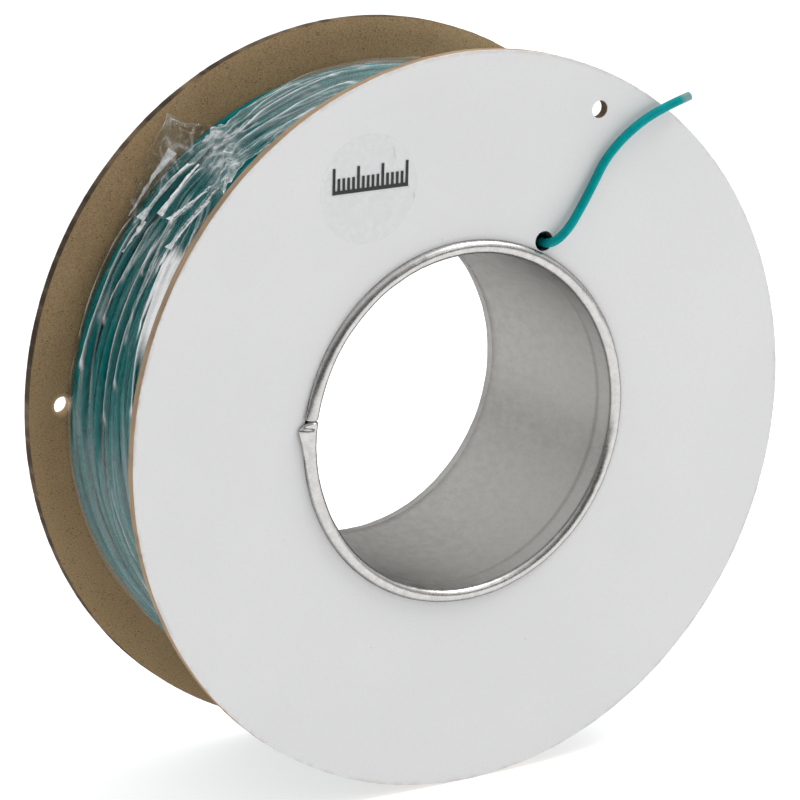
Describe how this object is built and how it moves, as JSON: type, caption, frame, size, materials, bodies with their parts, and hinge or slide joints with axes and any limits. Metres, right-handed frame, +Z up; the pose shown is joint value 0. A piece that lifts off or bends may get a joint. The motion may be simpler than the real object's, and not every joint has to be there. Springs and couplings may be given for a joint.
{
  "type": "wire spool",
  "caption": "Spool of insulated wire: round chipboard flanges faced in white paper on a curled tinplate core, with film round the winding and the wire's inner end led out of the front.",
  "frame": {"origin": "centre of the core's bore, at the middle of the core's length", "axes": "+Y along the bore, from the front flange with the label to the back flange; +Z up as the spool stands on its rims; +X to the right seen from the front"},
  "size_m": [0.22, 0.0761, 0.22],
  "materials": {
    "tinplate": "satin",
    "front_chipboard": "matte",
    "back_chipboard": "matte",
    "white_paper": "matte",
    "wire_insulation": "satin",
    "clear_film": "gloss",
    "clear_label": "gloss",
    "black_ink": "matte",
    "conductor": "satin"
  },
  "bodies": {
    "root": {"core_tube": "tinplate", "front_board": "front_chipboard", "front_paper": "white_paper", "back_board": "back_chipboard", "back_paper": "white_paper", "wire_winding": "wire_insulation", "stretch_film": "clear_film", "length_label": "clear_label", "label_print": "black_ink", "wire_tail": "wire_insulation", "tail_conductor": "conductor"}
  },
  "joints": []
}
